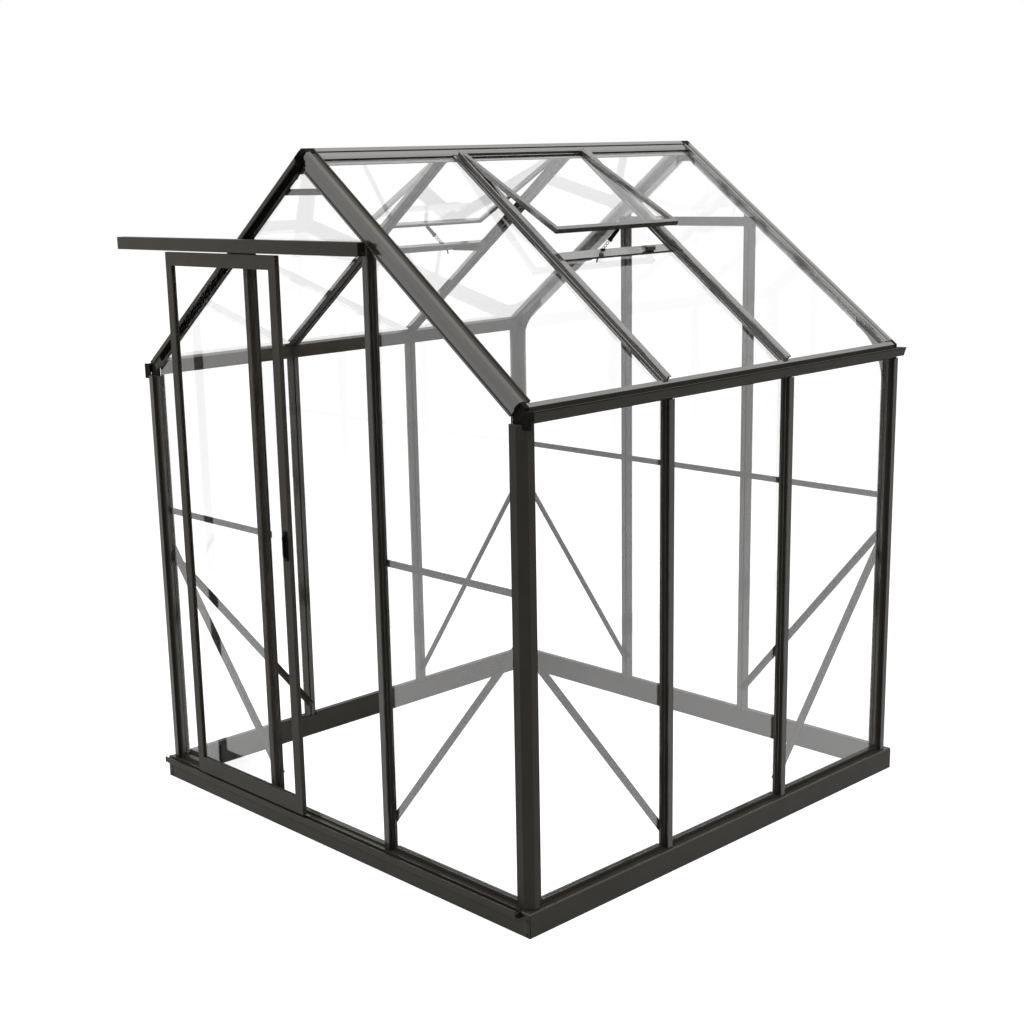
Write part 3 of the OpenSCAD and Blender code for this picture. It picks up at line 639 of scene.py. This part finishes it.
class GREENHOUSE_OT_add_vent_stays(bpy.types.Operator):
    """Adds the stays that prop the vents: a sleeve, a perforated bar and a foot"""

    bl_idname = "greenhouse.add_vent_stays"
    bl_label = "Vent stays"

    def execute(self, context):
        radius = context.scene.greenhouse_fittings.sleeve_width / 2
        rim = radius * 0.35
        collar_radius = radius * 1.25
        low, high = (Vector(v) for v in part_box("vent_stays"))
        # The right stay runs from its foot on the sill bar up to the vent's bottom rail
        foot = Vector((high.x - 30 * MM, low.y + 4.5 * MM, low.z + 2 * MM))
        head = Vector((high.x - 2 * MM, 0, high.z - 1 * MM))
        along = (head - foot).normalized()
        # The bar takes the lower 45 in 100 of the stay, the sleeve the rest
        middle = foot.lerp(head, 0.45)
        sleeve = rod(middle, head - 3 * MM * along, radius)
        pick_faces(sleeve, lambda f: abs(f.normal.dot(along)) > 0.9)
        bpy.ops.mesh.inset(thickness=rim)
        bpy.ops.object.mode_set(mode="OBJECT")
        collar = rod(middle - 4 * MM * along, middle + 5 * MM * along, collar_radius)
        pad_half = Vector((6, 8, 3)) * MM
        pad = block(foot - pad_half, foot + pad_half, 1 * MM)
        finish_piece(
            "vent_stay_sleeves", with_half_turn([sleeve, collar, pad]), moulded_plastic(),
            "frame", ["vent_stays"],
        )
        bars = with_half_turn(self.links(foot, middle, along))
        finish_piece("vent_stay_bars", bars, zinc_plate(), "frame")
        return {"FINISHED"}

    def links(self, foot, middle, along):
        """The perforated bar from the foot to the middle of the stay, drawn as a row of open links."""
        spacing = 10.5 * MM
        first = 5 * MM
        room_for_each = 11 * MM
        deselect()
        bpy.ops.mesh.primitive_torus_add(
            major_segments=14, minor_segments=6, major_radius=4.6 * MM, minor_radius=1.5 * MM,
            rotation=(0, math.pi / 2, 0),
        )
        pattern = bpy.context.object
        settle(pattern)
        turn = along.to_track_quat("Z", "Y").to_matrix().to_4x4()
        made = []
        for i in range(int((middle - foot).length / room_for_each)):
            place = foot + along * (first + i * spacing)
            made.append(copy_to(pattern, Matrix.Translation(place) @ turn))
        remove(pattern)
        return made


class GREENHOUSE_OT_add_track_caps(bpy.types.Operator):
    """Adds the plugs that close both ends of the door's track"""

    bl_idname = "greenhouse.add_track_caps"
    bl_label = "Track end caps"

    def execute(self, context):
        wall = 2.8 * MM
        proud = 1 * MM
        plug_depth = 12 * MM
        low, high = (Vector(v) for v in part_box("door_track"))
        parts = []
        for end, inward in ((high.x, -1), (low.x, 1)):
            near, far = sorted((end - inward * proud, end + inward * plug_depth))
            plug = block(
                (near, low.y + wall, low.z + 1 * MM), (far, high.y - wall, high.z - wall), 0.8 * MM
            )
            recess(plug, lambda f, s=-inward: f.normal.x * s > 0.9, 3 * MM, (inward * 2 * MM, 0, 0))
            parts.append(plug)
        finish_piece("track_end_caps", parts, moulded_plastic(), "frame")
        return {"FINISHED"}


class GREENHOUSE_OT_add_corner_plates(bpy.types.Operator):
    """Adds the folded plates and the dark joint covers of the base frame's corners"""

    bl_idname = "greenhouse.add_corner_plates"
    bl_label = "Base corner plates"

    def execute(self, context):
        wide = context.scene.greenhouse_fittings.corner_plate_width
        low, high = (Vector(v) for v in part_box("base_frame"))
        # A plate on the front face of each corner, standing a little proud of it
        proud = 0.6 * MM
        plate = block(
            (high.x - wide, low.y - proud, 1 * MM), (high.x, low.y + 3 * MM, high.z - 4 * MM), 0.5 * MM
        )
        plates = [plate] + [mirrored(plate, x, y) for x, y in OTHER_CORNERS]
        finish_piece("base_corner_plates", plates, powder_coat(), "frame")

        # Moulded covers over the joints inside the side rails, near the door gable
        rail_width = 47 * MM
        joint_from, joint_to = -797 * MM, -755 * MM
        inner = high.x - rail_width
        cover = block(
            (inner - 3 * MM, joint_from, 2 * MM), (inner + 1 * MM, joint_to, high.z - 2 * MM), 1 * MM
        )
        recess(cover, lambda f: f.normal.x < -0.9, 4 * MM, (1 * MM, 0, 0))
        covers = [cover, mirrored(cover, -1, 1)]
        finish_piece("base_joint_covers", covers, moulded_plastic(), "frame")
        return {"FINISHED"}


class GREENHOUSE_OT_add_bolts(bpy.types.Operator):
    """Adds the bolts of the frame and the door"""

    bl_idname = "greenhouse.add_bolts"
    bl_label = "Bolts"

    def execute(self, context):
        finish_piece("frame_bolts", bolts_at(self.frame_places()), powder_coat(), "frame")
        finish_piece("door_bolts", bolts_at(self.door_places()), powder_coat(), "door")
        return {"FINISHED"}

    def frame_places(self):
        """Where the frame's bolts sit and which way they face."""
        inwards = (0, -1, 0)
        sideways = (-1, 0, 0)
        base_high = Vector(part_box("base_frame")[1])
        # Inner faces of the walls, and of the bars and plates that are screwed to them
        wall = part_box("wall_studs_right")[0][0]
        bar_face = wall - 4 * MM
        plate_face = wall - 3 * MM
        header_face = wall - 10 * MM
        stud = 305 * MM
        post = 885 * MM
        places = []
        # Two in each plate on the base frame's corners
        for z in (53 * MM, 8 * MM):
            places += four_ways((base_high.x - 14 * MM, base_high.y + 0.2 * MM, z), (0, 1, 0))
        # Both ends of the corner braces; those of the side walls sit lower than the gables'
        side_drop = 39 * MM
        for along, z in ((893 * MM, 883 * MM), (322 * MM, 184 * MM)):
            places += four_ways((along, bar_face, z), inwards)
            places += four_ways((bar_face, along, z - side_drop), sideways)
        # Cross bars, where they cross the glazing bars and at the posts
        bar_low, bar_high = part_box("cross_bars")
        for x in (stud, post):
            places += four_ways((x, bar_face, (bar_low[2] + bar_high[2]) / 2), inwards)
        # Headers over the door and the back window
        places += four_ways((stud, header_face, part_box("headers")[0][2] + 17 * MM), inwards)
        # Plates under the ridge
        places += four_ways((26 * MM, plate_face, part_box("gusset_plates")[1][2] - 40 * MM), inwards)
        # Plates at the eaves, on the side walls and inside the back gable
        for y in (870 * MM, 900 * MM):
            places += four_ways((917 * MM, y, 1556 * MM), sideways)
        for x, z in ((904 * MM, 1500 * MM), (870 * MM, 1585 * MM), (830 * MM, 1620 * MM)):
            places += [((s * x, plate_face, z), inwards) for s in (-1, 1)]
        # Both ends of the collar tie
        tie_low, tie_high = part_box("collar_tie")
        tie_z = (tie_low[2] + tie_high[2]) / 2
        places += [((s * (tie_high[0] - 10 * MM), tie_high[1], tie_z), (0, 1, 0)) for s in (-1, 1)]
        return places

    def door_places(self):
        """Where the door's bolts sit: in the outer edges of its stiles, at the corners of the leaf."""
        low, high = (Vector(v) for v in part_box("door_stiles"))
        middle = (low.y + high.y) / 2
        places = []
        for z in (low.z + 30 * MM, high.z - 22 * MM):
            places += [((high.x, middle, z), (1, 0, 0)), ((low.x, middle, z), (-1, 0, 0))]
        return places


class GREENHOUSE_OT_add_rail_clip(bpy.types.Operator):
    """Adds the clip at the right end of the door's guide rail"""

    bl_idname = "greenhouse.add_rail_clip"
    bl_label = "Guide rail clip"

    def execute(self, context):
        length = 11 * MM
        overlap = 1 * MM
        low, high = (Vector(v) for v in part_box("door_guide_rail"))
        clip = block(
            (high.x - overlap, low.y + 5 * MM, low.z + 1 * MM),
            (high.x + length, high.y, low.z + 10 * MM), 1 * MM,
        )
        recess(clip, lambda f: f.normal.z > 0.9, 2 * MM, (0, 0, -2 * MM))
        finish_piece("guide_rail_clip", [clip], moulded_plastic(), "frame")
        return {"FINISHED"}


class GREENHOUSE_OT_add_gutter_lips(bpy.types.Operator):
    """Adds the rolled lips along the gutters' outer walls"""

    bl_idname = "greenhouse.add_gutter_lips"
    bl_label = "Gutter lips"

    def execute(self, context):
        lip_width = 7 * MM
        high = Vector(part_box("gutters")[1])
        reach = high.y - 1 * MM
        lip = block(
            (high.x - lip_width, -reach, high.z - 3 * MM), (high.x, reach, high.z + 1 * MM), 1 * MM
        )
        finish_piece("gutter_lips", [lip, mirrored(lip, -1, 1)], powder_coat(), "frame")
        return {"FINISHED"}


class GREENHOUSE_OT_add_gutter_caps(bpy.types.Operator):
    """Adds the moulded caps on the gutters' front ends and the slanted ends at the back"""

    bl_idname = "greenhouse.add_gutter_caps"
    bl_label = "Gutter end caps"

    def execute(self, context):
        gutter_width = 29 * MM
        low, high = (Vector(v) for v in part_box("gutter_ends"))
        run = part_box("gutters")[1][1]
        inner = high.x - gutter_width

        # In front, a stub that fills the gutter's section and a deeper plate across its end
        stub_length = 12 * MM
        plate_drop = 23 * MM
        stub = block((inner, -run - stub_length, low.z), (high.x - 0.5 * MM, -run, high.z + 0.5 * MM))
        plate = block(
            (inner - 4 * MM, -run - stub_length - 5 * MM, low.z - plate_drop),
            (high.x, -run - stub_length + 1 * MM, high.z + 2 * MM), 1.5 * MM,
        )
        broad = 100 * MM * MM
        recess(plate, lambda f: f.normal.y < -0.9 and f.area > broad, 3 * MM, (0, 1 * MM, 0))
        cap = joined(plate, stub)
        caps = [cap, mirrored(cap, -1, 1)]
        finish_piece("gutter_end_caps", caps, moulded_plastic(), "frame")

        # At the back the gutters run on past the posts, and their floor is cut back to a third
        reach = high.y - run
        end = block((inner, run, low.z), (high.x, high.y, high.z))
        pick_faces(end, lambda f: f.normal.z < -0.9)
        bpy.ops.transform.resize(value=(1, 1 / 3, 1))
        bpy.ops.transform.translate(value=(0, -reach / 3, 0))
        bpy.ops.object.mode_set(mode="OBJECT")
        recess(end, lambda f: f.normal.y > 0.5, 1.5 * MM, (0, -2 * MM, 0))
        ends = [end, mirrored(end, -1, 1)]
        finish_piece("gutter_end_stubs", ends, powder_coat(), "frame", ["gutter_ends"])
        return {"FINISHED"}


class GREENHOUSE_OT_add_gable_shade_strips(bpy.types.Operator):
    """Adds the black strips, painted shade, along one rafter of each gable"""

    bl_idname = "greenhouse.add_gable_gaskets"
    bl_label = "Gable shade strips"

    def execute(self, context):
        low, high = (Vector(v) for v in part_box("end_rafters_front"))
        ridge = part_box("ridge_bar")[1][2]
        # Modelled level, from the ridge outwards, then tilted to the roof's slope
        wide, top = 20 * MM, 27 * MM
        length = high.x / math.cos(ROOF_SLOPE)
        from_ridge, from_eave = 45 * MM, 60 * MM
        # The black strip is painted shade on the rafter's face
        strip = block(
            (from_ridge, low.y - 1.2 * MM, -top - wide),
            (length - from_eave, low.y + 3 * MM, -top), 0.5 * MM,
        )
        recess(strip, lambda f: f.normal.y < -0.9, 3 * MM, (0, 1 * MM, 0))
        # End cap of the rafter beside the ridge
        cap = block((3 * MM, low.y - 1.8 * MM, -52 * MM), (36 * MM, low.y + 3 * MM, -6 * MM), 1 * MM)
        shade_strip_and_cap = joined(strip, cap)
        shade_strip_and_cap.matrix_world = Matrix.Translation((0, 0, ridge)) @ Matrix.Rotation(ROOF_SLOPE, 4, "Y")
        settle(shade_strip_and_cap)
        pair = [mirrored(shade_strip_and_cap, -1, 1), mirrored(shade_strip_and_cap, 1, -1)]
        remove(shade_strip_and_cap)
        finish_piece("gable_shade_strips", pair, shade_strip_rubber(), "frame")
        return {"FINISHED"}


class GREENHOUSE_OT_add_vent_catches(bpy.types.Operator):
    """Adds the catches on the vents' bottom rails, and the plates and pegs of the sill bars"""

    bl_idname = "greenhouse.add_vent_catches"
    bl_label = "Vent catches"

    def execute(self, context):
        stay_high = Vector(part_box("vent_stays")[1])
        head = stay_high + Vector((2 * MM, 0, 6 * MM))
        head.y = -75 * MM
        catch_half = Vector((7, 12, 5)) * MM
        catch = block(head - catch_half, head + catch_half, 1.5 * MM)
        # Strike plate on the sill bar's outer face, and a bracket below that tapers to one end
        low, high = (Vector(v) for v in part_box("vent_sills"))
        face = high.x
        strike = block(
            (face - 8 * MM, 145 * MM, low.z + 14 * MM), (face + 1 * MM, 187 * MM, high.z + 1 * MM), 1 * MM
        )
        bracket = block(
            (face - 22 * MM, -250 * MM, low.z - 11 * MM), (face - 3 * MM, -130 * MM, low.z + 4 * MM)
        )
        pick_faces(bracket, lambda f: f.normal.y > 0.9)
        bpy.ops.transform.resize(value=(1, 1, 0.4))
        bpy.ops.transform.translate(value=(0, 0, 4 * MM))
        bpy.ops.object.mode_set(mode="OBJECT")
        # Peg that leans out under the sill bar
        peg_y = -85 * MM
        peg = rod(
            (face - 17 * MM, peg_y, low.z + 4 * MM), (face - 24 * MM, peg_y, low.z - 12 * MM), 3 * MM
        )
        dark = with_half_turn([catch, peg])
        finish_piece("vent_catches", dark, moulded_plastic(), "frame")
        plates = with_half_turn([strike, bracket])
        # The sill plates take the eave rails' coat, with its painted sheen
        finish_piece("vent_sill_plates", plates, lapped_coat("eave"), "frame")
        return {"FINISHED"}


class GREENHOUSE_OT_build_stage(bpy.types.Operator):
    """Sets the floor, the studio air, the lamps and the camera"""

    bl_idname = "greenhouse.build_stage"
    bl_label = "Stage"

    def execute(self, context):
        context.scene.view_settings.view_transform = "Standard"
        self.air(context)
        self.floor(context)
        self.lamps(context)
        self.camera(context)
        return {"FINISHED"}

    def air(self, context):
        """Studio air that is white where it is seen and lights the greenhouse at its own level."""
        world = bpy.data.worlds.new("studio_air")
        context.scene.world = world
        world.use_nodes = True
        tree = world.node_tree
        tree.nodes.clear()
        level = context.scene.greenhouse_stage.air_level
        strength = add(
            tree, "MapRange", values={"To Min": level, "To Max": 1.0}, links={"Value": self.seen(tree)}
        )
        sky = add(
            tree, "Background", values={"Color": linear("ffffff")},
            links={"Strength": strength.outputs["Result"]},
        )
        add(tree, "OutputWorld", links={"Surface": sky.outputs[0]})

    def floor(self, context):
        """Pale painted floor that keeps the shadows; where it is seen it also glows up to white."""
        deselect()
        bpy.ops.mesh.primitive_plane_add(size=60, location=(0, 0, 0))
        floor = context.object
        floor.name = "studio_floor"
        material, tree = new_material("white_studio_floor")
        paint = add(tree, "BsdfDiffuse", values={"Color": linear("a8a8a8")})
        glow = add(tree, "Emission", values={"Color": linear("ffffff"), "Strength": 0.88})
        both = add(tree, "AddShader", links={0: paint.outputs[0], 1: glow.outputs[0]})
        shown = add(
            tree, "MixShader", links={0: self.seen(tree), 1: paint.outputs[0], 2: both.outputs[0]}
        )
        add(tree, "OutputMaterial", links={"Surface": shown.outputs[0]})
        floor.data.materials.append(material)

    def lamps(self, context):
        """A soft lamp above the roof and one in front of the door gable."""
        level = context.scene.greenhouse_stage
        self.softbox("overhead_softbox", (1.2, -0.3, 4.9), (0.2, 0, 1.9), 2.6, level.overhead_power)
        self.softbox("front_softbox", (-2.6, -3.4, 2.6), (0.2, -0.9, 1.9), 1.6, level.front_power)

    def camera(self, context):
        """Camera off the right front corner, looking a little down from above head height."""
        place = (4.0595, -4.0846, 2.2520)
        yaw = math.radians(48.081)
        down = math.radians(13.415)
        roll = math.radians(-1.737)
        deselect()
        bpy.ops.object.camera_add()
        camera = context.object
        turn = Matrix.Rotation(yaw, 3, "Z") @ Matrix.Rotation(math.pi / 2 - down, 3, "X")
        turn = turn @ Matrix.Rotation(roll, 3, "Z")
        camera.matrix_world = Matrix.Translation(place) @ turn.to_4x4()
        camera.data.sensor_width = 36
        camera.data.lens = 56.56
        camera.data.shift_x = 0.0772
        camera.data.shift_y = 0.0354
        context.scene.camera = camera

    def seen(self, tree):
        """One where a ray comes from the camera, a mirror or a clear sheet, zero elsewhere."""
        rays = add(tree, "LightPath").outputs
        most = rays["Is Camera Ray"]
        for kind in ("Is Glossy Ray", "Is Transmission Ray"):
            most = add(tree, "Math", {"operation": "MAXIMUM"}, links={0: most, 1: rays[kind]}).outputs[0]
        return most

    def softbox(self, name, at, target, size, power):
        """A round soft lamp that faces the target."""
        deselect()
        bpy.ops.object.light_add(type="AREA", location=at)
        lamp = bpy.context.object
        lamp.name = name
        lamp.data.shape = "DISK"
        lamp.data.size = size
        lamp.data.energy = power
        lamp.rotation_euler = (Vector(target) - Vector(at)).to_track_quat("-Z", "Y").to_euler()
        # Only its light counts; its mirror image would burn out on the gable and the roof
        lamp.visible_glossy = False
        lamp.visible_transmission = False


class GREENHOUSE_PT_panel(bpy.types.Panel):
    """Settings of the finish, fittings and stage, and a button for each step"""

    bl_idname = "GREENHOUSE_PT_panel"
    bl_label = "Greenhouse"
    bl_space_type = "VIEW_3D"
    bl_region_type = "UI"
    bl_category = "Greenhouse"

    def draw(self, context):
        layout = self.layout
        for title, group in (
            ("Finish", context.scene.greenhouse_finish),
            ("Fittings", context.scene.greenhouse_fittings),
            ("Stage", context.scene.greenhouse_stage),
        ):
            box = layout.box()
            box.label(text=title)
            for name in group.__annotations__:
                box.prop(group, name)
        for operator in OPERATORS:
            layout.operator(operator.bl_idname)


OPERATORS = [
    GREENHOUSE_OT_finish_frame,
    GREENHOUSE_OT_add_door_handle,
    GREENHOUSE_OT_add_vent_stays,
    GREENHOUSE_OT_add_track_caps,
    GREENHOUSE_OT_add_corner_plates,
    GREENHOUSE_OT_add_bolts,
    GREENHOUSE_OT_add_rail_clip,
    GREENHOUSE_OT_add_gutter_lips,
    GREENHOUSE_OT_add_gutter_caps,
    GREENHOUSE_OT_add_gable_shade_strips,
    GREENHOUSE_OT_add_vent_catches,
    GREENHOUSE_OT_build_stage,
]
CLASSES = [GreenhouseFinish, GreenhouseFittings, GreenhouseStage, *OPERATORS, GREENHOUSE_PT_panel]
GROUPS = {
    "greenhouse_finish": GreenhouseFinish,
    "greenhouse_fittings": GreenhouseFittings,
    "greenhouse_stage": GreenhouseStage,
}


def register():
    for cls in CLASSES:
        bpy.utils.register_class(cls)
    for name, group in GROUPS.items():
        setattr(bpy.types.Scene, name, bpy.props.PointerProperty(type=group))


def unregister():
    for name in GROUPS:
        delattr(bpy.types.Scene, name)
    for cls in reversed(CLASSES):
        bpy.utils.unregister_class(cls)


def main():
    register()
    for operator in OPERATORS:
        family, action = operator.bl_idname.split(".")
        getattr(getattr(bpy.ops, family), action)()


if __name__ == "__main__":
    main()
